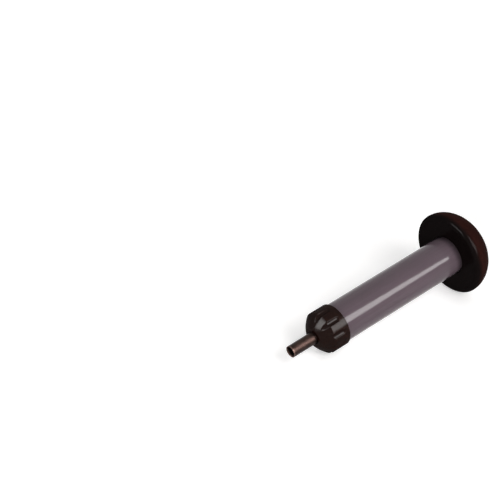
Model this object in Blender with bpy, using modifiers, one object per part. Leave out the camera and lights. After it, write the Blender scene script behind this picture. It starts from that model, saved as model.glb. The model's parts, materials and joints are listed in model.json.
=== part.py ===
"""Hand-turned paper drill: a hollow bit in a fluted screw collar, a tube barrel and a swivelling palm knob.

Every piece is drawn about the tool's own axis, with local Z running from the bit's cutting edge to the
top of the knob. The empty tool_axis then lays the whole drill down as it rests on a table: on two of the
collar's lands at the front and on the knob's rim at the back, with X along the tool and +Z up.
Lengths are in metres. A profile is a list of (radius, z) points that runs down its outer side.
"""

import math

import bpy
import bmesh
from mathutils import Matrix, Vector

MM = 0.001

# Clearances
GAP = 0.3 * MM
OVERRUN = 1.0 * MM

# Hollow bit: a hardened tube pressed into a hexagonal shank with a flange
BIT_DIAMETER = 7.5 * MM
BIT_BORE = 6.3 * MM
BIT_REACH = 17.8 * MM
BIT_EDGE_BEVEL_DEPTH = 0.9 * MM
BIT_EDGE_LAND = 0.2 * MM
SHANK_ACROSS_FLATS = 10.0 * MM
SHANK_LENGTH = 14.4 * MM
SHANK_FLANGE_RADIUS = 6.9 * MM
SHANK_FLANGE_THICKNESS = 2.0 * MM
SHANK_END_CHAMFER = 0.6 * MM

# Fluted screw collar
COLLAR_DIAMETER = 27.0 * MM
COLLAR_LENGTH = 11.25 * MM
COLLAR_EDGE_ROUND = 0.6 * MM
COLLAR_RIM_CHAMFER = 0.4 * MM
NOSE_LENGTH = 6.5 * MM
NOSE_SWELL = 0.3 * MM
NOSE_FACE_DIAMETER = 12.5 * MM
NOSE_WALL = 4.2 * MM
THREAD_RADIUS = 9.9 * MM
FLUTE_COUNT = 10
FLUTE_WIDTH = 3.4 * MM
FLUTE_DEPTH = 0.8 * MM
FLUTE_RIM = 2.7 * MM
FLUTE_START_RADIUS = 11.0 * MM

# Clamp washer between the collar and the bit's flange
WASHER_THICKNESS = 1.0 * MM

# Barrel tube, with the socket in its front and the plug in its back
BARREL_DIAMETER = 25.0 * MM
BARREL_WALL = 1.5 * MM
BARREL_SHOWN_LENGTH = 94.1 * MM
BARREL_IN_KNOB = 3.0 * MM
BARREL_END_CHAMFER = 0.3 * MM

SLEEVE_RADIUS = 7.4 * MM
SLEEVE_LENGTH = 15.1 * MM
SOCKET_DEPTH_IN_BARREL = 16.0 * MM
SOCKET_THROAT_RADIUS = 6.6 * MM
SOCKET_MOUTH_WALL = 1.5 * MM
SOCKET_LIP = 1.0 * MM

PLUG_DEPTH = 14.9 * MM
PLUG_FLANGE_THICKNESS = 1.7 * MM
PLUG_FLANGE_STEP = 0.3 * MM
PLUG_LEAD_CHAMFER = 0.8 * MM
PLUG_DISH_DEPTH = 3.0 * MM
PLUG_DISH_WALL = 2.0 * MM

# Palm knob
KNOB_DIAMETER = 54.0 * MM
KNOB_RIM_ROUND = 2.8 * MM
KNOB_DOME_HEIGHT = 19.4 * MM
KNOB_WALL = 2.6 * MM
KNOB_BASE_THICKNESS = 2.6 * MM
KNOB_CUP_WALL = 2.0 * MM
KNOB_WEB_THICKNESS = 2.5 * MM
KNOB_LEDGE_WIDTH = 1.6 * MM

# Swivel: shoulder screw, bush and washers
SHOULDER_RADIUS = 3.0 * MM
SPINDLE_THREAD_RADIUS = 2.5 * MM
SPINDLE_HEAD_RADIUS = 5.0 * MM
SPINDLE_HEAD_HEIGHT = 3.6 * MM
SPINDLE_HEAD_CHAMFER = 0.4 * MM
SPINDLE_KEY_ACROSS_FLATS = 4.0 * MM
SPINDLE_KEY_DEPTH = 2.2 * MM
SPINDLE_THREAD_PAST_NUT = 0.9 * MM
THRUST_WASHER_RADIUS = 9.5 * MM
BUSH_WALL = 1.3 * MM
BUSH_FLANGE_RADIUS = 6.5 * MM
FLAT_WASHER_RADIUS = 6.0 * MM
FLAT_WASHER_THICKNESS = 0.8 * MM
WAVE_WASHER_THICKNESS = 0.4 * MM
WAVE_WASHER_AMPLITUDE = 0.25 * MM
WAVE_WASHER_WAVES = 3
NUT_ACROSS_FLATS = 8.0 * MM
NUT_THICKNESS = 4.0 * MM
LOCK_WASHER_THICKNESS = 1.2 * MM
LOCK_WASHER_SLOT = 0.9 * MM

# How finely round shapes are divided
COLLAR_STEPS = FLUTE_COUNT * 10
KNOB_STEPS = 64
BARREL_STEPS = 48
SMALL_STEPS = 32
TINY_STEPS = 24
FLUTE_TOOL_RESOLUTION = 5
NOSE_STEPS = 5
DOME_STEPS = 9
DOME_INNER_STEPS = 5
ROUND_STEPS = 3

HEX_CORNER_SHARE = 1 / math.cos(math.pi / 6)
SHARP_ANGLE = math.radians(30)

# Radii that follow from the sizes above
BIT_RADIUS = BIT_DIAMETER / 2
BIT_BORE_RADIUS = BIT_BORE / 2
COLLAR_RADIUS = COLLAR_DIAMETER / 2
BARREL_RADIUS = BARREL_DIAMETER / 2
BARREL_BORE_RADIUS = BARREL_RADIUS - BARREL_WALL
PLUG_RADIUS = BARREL_BORE_RADIUS - GAP
KNOB_RADIUS = KNOB_DIAMETER / 2
THREAD_BORE_RADIUS = THREAD_RADIUS + GAP
CLAMP_RADIUS = SHANK_FLANGE_RADIUS
CHAMBER_RADIUS = CLAMP_RADIUS + GAP
NOSE_BORE_RADIUS = BIT_RADIUS + GAP
BUSH_BORE_RADIUS = SHOULDER_RADIUS + GAP
BUSH_RADIUS = BUSH_BORE_RADIUS + BUSH_WALL
LOCK_WASHER_RADIUS = NUT_ACROSS_FLATS / 2

# Places along the axis, from the cutting edge backwards
NOSE_FACE_Z = BIT_REACH
COLLAR_EDGE_Z = NOSE_FACE_Z + NOSE_LENGTH
COLLAR_BACK_Z = COLLAR_EDGE_Z + COLLAR_LENGTH
CHAMBER_Z = NOSE_FACE_Z + NOSE_WALL
CLAMP_Z = CHAMBER_Z + GAP
FLANGE_Z = CLAMP_Z + WASHER_THICKNESS + GAP
SHANK_Z = FLANGE_Z + SHANK_FLANGE_THICKNESS
SHANK_END_Z = SHANK_Z + SHANK_LENGTH
SOCKET_Z = SHANK_Z + GAP
BARREL_FRONT_Z = COLLAR_BACK_Z + GAP
SOCKET_END_Z = BARREL_FRONT_Z + SOCKET_DEPTH_IN_BARREL
SLEEVE_END_Z = SOCKET_Z + SLEEVE_LENGTH
KNOB_FACE_Z = COLLAR_BACK_Z + BARREL_SHOWN_LENGTH
KNOB_WIDEST_Z = KNOB_FACE_Z + KNOB_RIM_ROUND
BARREL_BACK_Z = KNOB_FACE_Z + BARREL_IN_KNOB
PLUG_FLANGE_Z = BARREL_BACK_Z + GAP
PLUG_FRONT_Z = PLUG_FLANGE_Z - PLUG_DEPTH
PLUG_BACK_Z = PLUG_FLANGE_Z + PLUG_FLANGE_THICKNESS
THRUST_WASHER_Z = PLUG_BACK_Z + GAP
WEB_Z = THRUST_WASHER_Z + WASHER_THICKNESS + GAP
WEB_BACK_Z = WEB_Z + KNOB_WEB_THICKNESS
BUSH_FLANGE_Z = WEB_BACK_Z + GAP
FLAT_WASHER_Z = BUSH_FLANGE_Z + WASHER_THICKNESS + GAP
WAVE_WASHER_Z = FLAT_WASHER_Z + FLAT_WASHER_THICKNESS + GAP + WAVE_WASHER_AMPLITUDE
HEAD_Z = WAVE_WASHER_Z + WAVE_WASHER_THICKNESS + WAVE_WASHER_AMPLITUDE + GAP
NUT_POCKET_Z = PLUG_FRONT_Z + PLUG_DISH_DEPTH + NUT_THICKNESS + LOCK_WASHER_THICKNESS
LOCK_WASHER_Z = NUT_POCKET_Z - GAP - LOCK_WASHER_THICKNESS
NUT_Z = LOCK_WASHER_Z - GAP - NUT_THICKNESS
SPINDLE_END_Z = NUT_Z - SPINDLE_THREAD_PAST_NUT

# The knob's edge, where its base sits inside the dome's rim
KNOB_BASE_RADIUS = KNOB_RADIUS - KNOB_RIM_ROUND - GAP - GAP
KNOB_SEAT_RADIUS = KNOB_BASE_RADIUS + GAP

# Flutes: round grooves whose radius gives their width and depth
FLUTE_RADIUS = (FLUTE_WIDTH ** 2 / 4 + FLUTE_DEPTH ** 2) / (2 * FLUTE_DEPTH)
FLUTE_HALF_ANGLE = math.asin(FLUTE_WIDTH / COLLAR_DIAMETER)


def clear_scene():
    """Empty the scene without closing the file that this script runs from."""
    for obj in list(bpy.data.objects):
        bpy.data.objects.remove(obj, do_unlink=True)
    for collection in list(bpy.data.collections):
        bpy.data.collections.remove(collection)


def new_collection(name):
    collection = bpy.data.collections.new(name)
    bpy.context.scene.collection.children.link(collection)
    return collection


def new_material(name, colour, roughness, metallic=0.0):
    material = bpy.data.materials.new(name)
    material.use_nodes = True
    shader = material.node_tree.nodes["Principled BSDF"]
    shader.inputs["Base Color"].default_value = (*colour, 1.0)
    shader.inputs["Roughness"].default_value = roughness
    shader.inputs["Metallic"].default_value = metallic
    material.diffuse_color = (*colour, 1.0)
    return material


def new_empty(name, parent=None, location=(0, 0, 0)):
    empty = bpy.data.objects.new(name, None)
    empty.parent = parent
    empty.location = location
    PIECES.objects.link(empty)
    return empty


def turned(name, profile, steps, closed, collection, turn=0.0):
    """A shape of revolution about local Z, from a profile of (radius, z) points."""
    mesh = bpy.data.meshes.new(name)
    points = [(radius, 0, z) for radius, z in profile]
    edges = [(i, i + 1) for i in range(len(points) - 1)]
    if closed:
        edges.append((len(points) - 1, 0))
    mesh.from_pydata(points, edges, [])
    mesh.transform(Matrix.Rotation(turn, 4, "Z"))
    obj = bpy.data.objects.new(name, mesh)
    collection.objects.link(obj)
    screw = obj.modifiers.new("Turn", "SCREW")
    screw.axis = "Z"
    screw.steps = steps
    screw.render_steps = steps
    screw.use_merge_vertices = True
    screw.merge_threshold = GAP / 100
    screw.use_smooth_shade = True
    return obj


def ring(name, inner, outer, low, high, steps, collection):
    """A plain ring or washer with square edges."""
    profile = [(outer, high), (outer, low), (inner, low), (inner, high)]
    return turned(name, profile, steps, True, collection)


def rod(name, radius, low, high, steps, collection):
    """A plain solid cylinder along the axis."""
    profile = [(0, high), (radius, high), (radius, low), (0, low)]
    return turned(name, profile, steps, False, collection)


def hex_prism(name, across_flats, low, high, collection):
    """A hexagonal bar along the axis, with its flats facing along local X."""
    mesh = bpy.data.meshes.new(name)
    shape = bmesh.new()
    bmesh.ops.create_cone(
        shape,
        cap_ends=True,
        segments=6,
        radius1=across_flats / 2 * HEX_CORNER_SHARE,
        radius2=across_flats / 2 * HEX_CORNER_SHARE,
        depth=high - low,
        matrix=Matrix.Translation((0, 0, (low + high) / 2)) @ Matrix.Rotation(math.pi / 6, 4, "Z"),
    )
    shape.to_mesh(mesh)
    shape.free()
    obj = bpy.data.objects.new(name, mesh)
    collection.objects.link(obj)
    return obj


def combine(obj, other, operation):
    """Add a Boolean to obj, and make its operand a hidden cutter."""
    boolean = obj.modifiers.new(other.name, "BOOLEAN")
    boolean.operation = operation
    boolean.solver = "EXACT"
    boolean.object = other
    other.parent = TOOL_AXIS
    other.hide_render = True
    other.display_type = "WIRE"


def arc(centre_radius, centre_z, radius, start, end, steps):
    """Profile points on a circular arc; angles run from +radius towards +z."""
    points = []
    for i in range(steps + 1):
        angle = start + (end - start) * i / steps
        points.append((centre_radius + radius * math.cos(angle), centre_z + radius * math.sin(angle)))
    return points


def dome(radius, base_z, height, steps):
    """Profile points of a quarter ellipse, from the apex on the axis down to the widest ring."""
    points = []
    for i in range(steps + 1):
        angle = math.pi / 2 * (1 - i / steps)
        points.append((radius * math.cos(angle) if i else 0, base_z + height * math.sin(angle)))
    return points


def collar_profile():
    """The collar's section: back rim, grip, swollen cone, nose face, bit hole, chamber and thread bore."""
    outer = [
        (THREAD_BORE_RADIUS + COLLAR_RIM_CHAMFER, COLLAR_BACK_Z),
        (COLLAR_RADIUS - COLLAR_RIM_CHAMFER, COLLAR_BACK_Z),
        (COLLAR_RADIUS, COLLAR_BACK_Z - COLLAR_RIM_CHAMFER),
    ]
    centre = COLLAR_RADIUS - COLLAR_EDGE_ROUND
    cone_angle = nose_slope() - math.pi / 2
    swell_angle = math.atan2(4 * NOSE_SWELL, NOSE_LENGTH / math.cos(nose_slope()))
    outer += arc(centre, collar_round_z(), COLLAR_EDGE_ROUND, 0, cone_angle + swell_angle, ROUND_STEPS)
    inner = [
        *swollen(outer[-1], (NOSE_FACE_DIAMETER / 2, NOSE_FACE_Z), NOSE_SWELL, NOSE_STEPS),
        (NOSE_BORE_RADIUS, NOSE_FACE_Z),
        (NOSE_BORE_RADIUS, CHAMBER_Z),
        (CHAMBER_RADIUS, CHAMBER_Z),
        (CHAMBER_RADIUS, SOCKET_Z - GAP),
        (THREAD_BORE_RADIUS, SOCKET_Z - GAP),
        (THREAD_BORE_RADIUS, COLLAR_BACK_Z - COLLAR_RIM_CHAMFER),
    ]
    return outer + inner


def swollen(start, end, swell, steps):
    """Profile points after start, up to end, on a shallow curve that stands outside the line between them."""
    start, end = Vector(start), Vector(end)
    out = Vector((start.y - end.y, end.x - start.x)).normalized() * swell
    points = []
    for i in range(1, steps + 1):
        share = i / steps
        points.append(tuple(start.lerp(end, share) + 4 * share * (1 - share) * out))
    return points


def collar_round_z():
    """Height of the centre of the rounded edge between the collar's cone and its grip."""
    return COLLAR_EDGE_Z + COLLAR_EDGE_ROUND * math.tan(nose_slope() / 2)


def nose_slope():
    """Angle between the nose's cone and the axis."""
    return math.atan2(COLLAR_RADIUS - NOSE_FACE_DIAMETER / 2, NOSE_LENGTH)


def flute_path():
    """One flute's tool path, as (centre, share of the tool's radius): up the nose, then along the grip."""
    slope = nose_slope()
    start_z = NOSE_FACE_Z + (FLUTE_START_RADIUS - NOSE_FACE_DIAMETER / 2) / math.tan(slope)
    start = Vector((FLUTE_START_RADIUS, 0, start_z))
    corner = Vector((COLLAR_RADIUS - FLUTE_DEPTH, 0, COLLAR_EDGE_Z))
    start += (start - corner).normalized() * FLUTE_RADIUS
    cone_normal = Vector((math.cos(slope), 0, -math.sin(slope)))
    corner_normal = Vector((math.cos(slope / 2), 0, -math.sin(slope / 2)))
    path = [(start + cone_normal * FLUTE_RADIUS, 1), (corner + corner_normal * FLUTE_RADIUS, 1)]
    centre_radius = COLLAR_RADIUS - FLUTE_DEPTH + FLUTE_RADIUS
    round_z = COLLAR_BACK_Z - FLUTE_RIM - FLUTE_RADIUS
    for i in range(ROUND_STEPS + 1):
        angle = math.pi / 2 * i / (ROUND_STEPS + 1)
        path.append((Vector((centre_radius, 0, round_z + FLUTE_RADIUS * math.sin(angle))), math.cos(angle)))
    return path


def flute_tool():
    """The tool that cuts one flute: a bent round bar, made as a curve and turned into a closed mesh."""
    curve = bpy.data.curves.new("flute_tool", "CURVE")
    curve.dimensions = "3D"
    curve.bevel_depth = FLUTE_RADIUS
    curve.bevel_resolution = FLUTE_TOOL_RESOLUTION
    curve.use_fill_caps = True
    path = flute_path()
    spline = curve.splines.new("POLY")
    spline.points.add(len(path) - 1)
    for point, (centre, share) in zip(spline.points, path):
        point.co = (*centre, 1)
        point.radius = share
    obj = bpy.data.objects.new("flute_tool", curve)
    CUTTERS.objects.link(obj)
    bpy.context.view_layer.update()
    mesh = bpy.data.meshes.new_from_object(obj.evaluated_get(bpy.context.evaluated_depsgraph_get()))
    bpy.data.objects.remove(obj, do_unlink=True)
    return mesh


def build_collar():
    """The black screw collar, whose flutes are cut by a ring of bent round bars."""
    collar = turned("collar_nut", collar_profile(), COLLAR_STEPS, True, PIECES)
    tool = flute_tool()
    shape = bmesh.new()
    for i in range(FLUTE_COUNT):
        copy = tool.copy()
        copy.transform(Matrix.Rotation(2 * math.pi * i / FLUTE_COUNT, 4, "Z"))
        shape.from_mesh(copy)
        bpy.data.meshes.remove(copy)
    bmesh.ops.remove_doubles(shape, verts=shape.verts, dist=GAP / 100)
    bmesh.ops.recalc_face_normals(shape, faces=shape.faces)
    mesh = bpy.data.meshes.new("flute_cutters")
    shape.to_mesh(mesh)
    shape.free()
    cutters = bpy.data.objects.new("flute_cutters", mesh)
    CUTTERS.objects.link(cutters)
    combine(collar, cutters, "DIFFERENCE")
    return collar


def build_bit():
    """The hollow bit's tube, its hexagonal shank and the washer that clamps it."""
    tube_profile = [
        (BIT_RADIUS, SHANK_END_Z),
        (BIT_RADIUS, 0),
        (BIT_RADIUS - BIT_EDGE_LAND, 0),
        (BIT_BORE_RADIUS, BIT_EDGE_BEVEL_DEPTH),
        (BIT_BORE_RADIUS, SHANK_END_Z),
    ]
    tube = turned("bit_tube", tube_profile, SMALL_STEPS, True, PIECES)

    shank = hex_prism("bit_shank", SHANK_ACROSS_FLATS, SHANK_Z - OVERRUN, SHANK_END_Z, PIECES)
    corner = SHANK_ACROSS_FLATS / 2 * HEX_CORNER_SHARE
    crown = [
        (0, SHANK_END_Z),
        (corner - SHANK_END_CHAMFER, SHANK_END_Z),
        (corner + OVERRUN, SHANK_END_Z - SHANK_END_CHAMFER - OVERRUN),
        (corner + OVERRUN, FLANGE_Z),
        (0, FLANGE_Z),
    ]
    combine(shank, turned("shank_crown", crown, SMALL_STEPS, False, CUTTERS), "INTERSECT")
    flange = rod("shank_flange", SHANK_FLANGE_RADIUS, FLANGE_Z, SHANK_Z, SMALL_STEPS, CUTTERS)
    combine(shank, flange, "UNION")
    bore_radius = BIT_RADIUS + GAP
    bore = rod("shank_bore", bore_radius, FLANGE_Z - OVERRUN, SHANK_END_Z + OVERRUN, SMALL_STEPS, CUTTERS)
    combine(shank, bore, "DIFFERENCE")

    washer = ring("clamp_washer", NOSE_BORE_RADIUS, CLAMP_RADIUS, CLAMP_Z, CLAMP_Z + WASHER_THICKNESS,
                  SMALL_STEPS, PIECES)
    return tube, shank, washer


def build_barrel_tube():
    profile = [
        (BARREL_RADIUS - BARREL_END_CHAMFER, BARREL_BACK_Z),
        (BARREL_RADIUS, BARREL_BACK_Z - BARREL_END_CHAMFER),
        (BARREL_RADIUS, BARREL_FRONT_Z + BARREL_END_CHAMFER),
        (BARREL_RADIUS - BARREL_END_CHAMFER, BARREL_FRONT_Z),
        (BARREL_BORE_RADIUS, BARREL_FRONT_Z),
        (BARREL_BORE_RADIUS, BARREL_BACK_Z),
    ]
    return turned("barrel_tube", profile, BARREL_STEPS, True, PIECES)


def build_socket():
    """The barrel's threaded nose, with a throat for the paper discs, and the sleeve that drives the bit."""
    seat_radius = SLEEVE_RADIUS + GAP
    seat_z = SLEEVE_END_Z + GAP
    profile = [
        (PLUG_RADIUS, SOCKET_END_Z),
        (PLUG_RADIUS, BARREL_FRONT_Z),
        (THREAD_RADIUS, BARREL_FRONT_Z),
        (THREAD_RADIUS, SOCKET_Z + BARREL_END_CHAMFER),
        (THREAD_RADIUS - BARREL_END_CHAMFER, SOCKET_Z),
        (seat_radius, SOCKET_Z),
        (seat_radius, seat_z),
        (SOCKET_THROAT_RADIUS, seat_z),
        (SOCKET_THROAT_RADIUS, seat_z + SOCKET_LIP),
        (PLUG_RADIUS - SOCKET_MOUTH_WALL, SOCKET_END_Z),
    ]
    socket = turned("bit_socket", profile, BARREL_STEPS, True, PIECES)
    sleeve = rod("drive_sleeve", SLEEVE_RADIUS, SOCKET_Z, SLEEVE_END_Z, SMALL_STEPS, PIECES)
    across_flats = SHANK_ACROSS_FLATS + 2 * GAP
    hole = hex_prism("sleeve_hexagon", across_flats, SOCKET_Z - OVERRUN, SLEEVE_END_Z + OVERRUN, CUTTERS)
    combine(sleeve, hole, "DIFFERENCE")
    return socket, sleeve


def build_plug():
    """The plug in the barrel's back end, dished in front, with a pocket that keeps the nut from turning."""
    bore_radius = SPINDLE_THREAD_RADIUS + GAP
    dish_z = PLUG_FRONT_Z + PLUG_DISH_DEPTH
    profile = [
        (BARREL_RADIUS - PLUG_FLANGE_STEP, PLUG_BACK_Z),
        (BARREL_RADIUS - PLUG_FLANGE_STEP, PLUG_FLANGE_Z),
        (PLUG_RADIUS, PLUG_FLANGE_Z),
        (PLUG_RADIUS, PLUG_FRONT_Z + PLUG_LEAD_CHAMFER),
        (PLUG_RADIUS - PLUG_LEAD_CHAMFER, PLUG_FRONT_Z),
        (PLUG_RADIUS - PLUG_DISH_WALL, PLUG_FRONT_Z),
        (PLUG_RADIUS - PLUG_DISH_WALL, dish_z),
        (bore_radius, dish_z),
        (bore_radius, PLUG_BACK_Z),
    ]
    plug = turned("barrel_plug", profile, BARREL_STEPS, True, PIECES)
    pocket = hex_prism("nut_pocket", NUT_ACROSS_FLATS + 2 * GAP, dish_z - OVERRUN, NUT_POCKET_Z, CUTTERS)
    combine(plug, pocket, "DIFFERENCE")
    return plug


def build_spindle():
    """The shoulder screw on which the knob swivels, with its nut and split lock washer."""
    shoulder_z = PLUG_BACK_Z + GAP
    profile = [
        (0, HEAD_Z + SPINDLE_HEAD_HEIGHT),
        (SPINDLE_HEAD_RADIUS - SPINDLE_HEAD_CHAMFER, HEAD_Z + SPINDLE_HEAD_HEIGHT),
        (SPINDLE_HEAD_RADIUS, HEAD_Z + SPINDLE_HEAD_HEIGHT - SPINDLE_HEAD_CHAMFER),
        (SPINDLE_HEAD_RADIUS, HEAD_Z),
        (SHOULDER_RADIUS, HEAD_Z),
        (SHOULDER_RADIUS, shoulder_z),
        (SPINDLE_THREAD_RADIUS, shoulder_z),
        (SPINDLE_THREAD_RADIUS, SPINDLE_END_Z + SPINDLE_HEAD_CHAMFER),
        (SPINDLE_THREAD_RADIUS - SPINDLE_HEAD_CHAMFER, SPINDLE_END_Z),
        (0, SPINDLE_END_Z),
    ]
    screw = turned("spindle_screw", profile, TINY_STEPS, False, PIECES)
    key_top = HEAD_Z + SPINDLE_HEAD_HEIGHT
    key_z = key_top - SPINDLE_KEY_DEPTH
    key = hex_prism("spindle_key", SPINDLE_KEY_ACROSS_FLATS, key_z, key_top + OVERRUN, CUTTERS)
    combine(screw, key, "DIFFERENCE")

    hole_radius = SPINDLE_THREAD_RADIUS + GAP
    nut = hex_prism("spindle_nut", NUT_ACROSS_FLATS, NUT_Z, NUT_Z + NUT_THICKNESS, PIECES)
    nut_end = NUT_Z + NUT_THICKNESS + OVERRUN
    combine(nut, rod("nut_hole", hole_radius, NUT_Z - OVERRUN, nut_end, TINY_STEPS, CUTTERS), "DIFFERENCE")

    lock = ring("lock_washer", hole_radius, LOCK_WASHER_RADIUS, LOCK_WASHER_Z,
                LOCK_WASHER_Z + LOCK_WASHER_THICKNESS, TINY_STEPS, PIECES)
    slot = box_cutter("lock_washer_slot", hole_radius / 2, LOCK_WASHER_RADIUS + OVERRUN, LOCK_WASHER_SLOT,
                      LOCK_WASHER_Z - OVERRUN, LOCK_WASHER_Z + LOCK_WASHER_THICKNESS + OVERRUN)
    combine(lock, slot, "DIFFERENCE")
    return screw, nut, lock


def box_cutter(name, near, far, width, low, high):
    """A box that reaches out along local X from near to far."""
    mesh = bpy.data.meshes.new(name)
    shape = bmesh.new()
    place = Matrix.Translation(((near + far) / 2, 0, (low + high) / 2))
    scale = Matrix.Diagonal((far - near, width, high - low, 1))
    bmesh.ops.create_cube(shape, size=1, matrix=place @ scale)
    shape.to_mesh(mesh)
    shape.free()
    obj = bpy.data.objects.new(name, mesh)
    CUTTERS.objects.link(obj)
    return obj


def build_washers():
    """The thrust washer under the knob's web, and the flat and wave washers under the screw's head."""
    thrust = ring("thrust_washer", BUSH_BORE_RADIUS, THRUST_WASHER_RADIUS, THRUST_WASHER_Z,
                  THRUST_WASHER_Z + WASHER_THICKNESS, SMALL_STEPS, PIECES)
    flat = ring("flat_washer", BUSH_BORE_RADIUS, FLAT_WASHER_RADIUS, FLAT_WASHER_Z,
                FLAT_WASHER_Z + FLAT_WASHER_THICKNESS, TINY_STEPS, PIECES)
    wave = build_wave_washer()
    return thrust, flat, wave


def build_wave_washer():
    """A spring washer: a flat ring whose height follows a wave round the axis."""
    blank = ring("wave_blank", BUSH_BORE_RADIUS, SPINDLE_HEAD_RADIUS, WAVE_WASHER_Z,
                 WAVE_WASHER_Z + WAVE_WASHER_THICKNESS, SMALL_STEPS, CUTTERS)
    bpy.context.view_layer.update()
    evaluated = blank.evaluated_get(bpy.context.evaluated_depsgraph_get())
    mesh = bpy.data.meshes.new_from_object(evaluated)
    bpy.data.objects.remove(blank, do_unlink=True)
    mesh.name = "wave_washer"
    for vertex in mesh.vertices:
        angle = math.atan2(vertex.co.y, vertex.co.x)
        vertex.co.z += WAVE_WASHER_AMPLITUDE * math.cos(WAVE_WASHER_WAVES * angle)
    obj = bpy.data.objects.new("wave_washer", mesh)
    PIECES.objects.link(obj)
    return obj


def build_knob():
    """The palm knob: its domed shell, the base that takes the barrel's end, and the brass bush."""
    turn = math.pi / KNOB_STEPS
    inner_radius = KNOB_RADIUS - KNOB_WALL
    seat_z = KNOB_FACE_Z + KNOB_BASE_THICKNESS + GAP
    shell = dome(KNOB_RADIUS, KNOB_WIDEST_Z, KNOB_DOME_HEIGHT, DOME_STEPS)
    rim_centre = KNOB_RADIUS - KNOB_RIM_ROUND
    shell += arc(rim_centre, KNOB_WIDEST_Z, KNOB_RIM_ROUND, 0, -math.pi / 2, ROUND_STEPS)[1:]
    shell += [(KNOB_SEAT_RADIUS, KNOB_FACE_Z), (KNOB_SEAT_RADIUS, seat_z)]
    shell += [(KNOB_SEAT_RADIUS - KNOB_LEDGE_WIDTH, seat_z)]
    ledge_angle = math.acos((KNOB_SEAT_RADIUS - KNOB_LEDGE_WIDTH) / inner_radius)
    inner_height = KNOB_DOME_HEIGHT - KNOB_WALL
    for i in range(DOME_INNER_STEPS + 1):
        angle = ledge_angle + (math.pi / 2 - ledge_angle) * i / DOME_INNER_STEPS
        radius = inner_radius * math.cos(angle) if i < DOME_INNER_STEPS else 0
        shell.append((radius, KNOB_WIDEST_Z + inner_height * math.sin(angle)))
    knob_dome = turned("knob_dome", shell, KNOB_STEPS, False, PIECES, turn)

    cup_radius = BARREL_RADIUS + GAP
    cup_outer = cup_radius + KNOB_CUP_WALL
    base_profile = [
        (KNOB_BASE_RADIUS, KNOB_FACE_Z + KNOB_BASE_THICKNESS),
        (KNOB_BASE_RADIUS, KNOB_FACE_Z),
        (cup_radius, KNOB_FACE_Z),
        (cup_radius, WEB_Z),
        (BUSH_RADIUS + GAP, WEB_Z),
        (BUSH_RADIUS + GAP, WEB_BACK_Z),
        (cup_outer, WEB_BACK_Z),
        (cup_outer, KNOB_FACE_Z + KNOB_BASE_THICKNESS),
    ]
    knob_base = turned("knob_base", base_profile, KNOB_STEPS, True, PIECES, turn)

    bush_profile = [
        (BUSH_FLANGE_RADIUS, BUSH_FLANGE_Z + WASHER_THICKNESS),
        (BUSH_FLANGE_RADIUS, BUSH_FLANGE_Z),
        (BUSH_RADIUS, BUSH_FLANGE_Z),
        (BUSH_RADIUS, WEB_Z),
        (BUSH_BORE_RADIUS, WEB_Z),
        (BUSH_BORE_RADIUS, BUSH_FLANGE_Z + WASHER_THICKNESS),
    ]
    knob_bush = turned("knob_bush", bush_profile, SMALL_STEPS, True, PIECES)
    return knob_dome, knob_base, knob_bush


def resting_pose():
    """The tilt of the tool's axis, and the height and X of the bit's tip, when the drill lies on a table.

    The table touches two rounded edges: the collar's, on the lands on either side of the lowest flute,
    and the knob's rim, on its lowest facet.
    """
    front_radius = (COLLAR_RADIUS - COLLAR_EDGE_ROUND) * math.cos(FLUTE_HALF_ANGLE)
    back_radius = (KNOB_RADIUS - KNOB_RIM_ROUND) * math.cos(math.pi / KNOB_STEPS)
    rise = back_radius - front_radius
    run = KNOB_WIDEST_Z - collar_round_z()
    tilt = math.atan2(rise, run) - math.asin((COLLAR_EDGE_ROUND - KNOB_RIM_ROUND) / math.hypot(rise, run))
    tip_height = back_radius * math.cos(tilt) + KNOB_RIM_ROUND - KNOB_WIDEST_Z * math.sin(tilt)
    low_x = -BIT_RADIUS * math.sin(tilt)
    dome_reach = math.hypot(KNOB_DOME_HEIGHT * math.cos(tilt), KNOB_RADIUS * math.sin(tilt))
    high_x = KNOB_WIDEST_Z * math.cos(tilt) + dome_reach
    return tilt, tip_height, -(low_x + high_x) / 2


def axis_empty(name, z):
    """An empty on the tool's axis, which carries the pieces that move about or along it."""
    empty = new_empty(name, TOOL_AXIS, (0, 0, z))
    empty["axis_z"] = z
    return empty


def hang(pieces, empty, material):
    """Parent pieces to an axis empty, with their shapes where they were drawn, and finish their meshes."""
    for piece in pieces:
        piece.parent = empty
        piece.location.z = -empty.get("axis_z", 0)
    bpy.context.view_layer.update()
    graph = bpy.context.evaluated_depsgraph_get()
    for piece in pieces:
        mesh = bpy.data.meshes.new_from_object(piece.evaluated_get(graph))
        mesh.shade_smooth()
        mesh.set_sharp_from_angle(angle=SHARP_ANGLE)
        mesh.materials.clear()
        mesh.materials.append(material)
        piece.modifiers.clear()
        piece.data = mesh


clear_scene()
PIECES = new_collection("paper_drill")
CUTTERS = new_collection("paper_drill_cutters")

TILT, TIP_HEIGHT, TIP_X = resting_pose()
TOOL_AXIS = new_empty("tool_axis", None, (TIP_X, 0, TIP_HEIGHT))
TOOL_AXIS.rotation_euler = (0, math.pi / 2 - TILT, 0)
knob_axis = axis_empty("knob_axis", WEB_Z)
bit_axis = axis_empty("bit_axis", FLANGE_Z)
collar_axis = axis_empty("collar_axis", COLLAR_EDGE_Z)

black_plastic = new_material("black_plastic", (0.008, 0.006, 0.006), 0.12)
grey_plastic = new_material("grey_plastic", (0.125, 0.105, 0.125), 0.22)
dark_steel = new_material("dark_steel", (0.09, 0.06, 0.05), 0.25, 1.0)
bright_steel = new_material("bright_steel", (0.55, 0.55, 0.57), 0.3, 1.0)
brass = new_material("brass", (0.72, 0.52, 0.2), 0.3, 1.0)
nylon = new_material("nylon", (0.72, 0.7, 0.64), 0.45)

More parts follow.
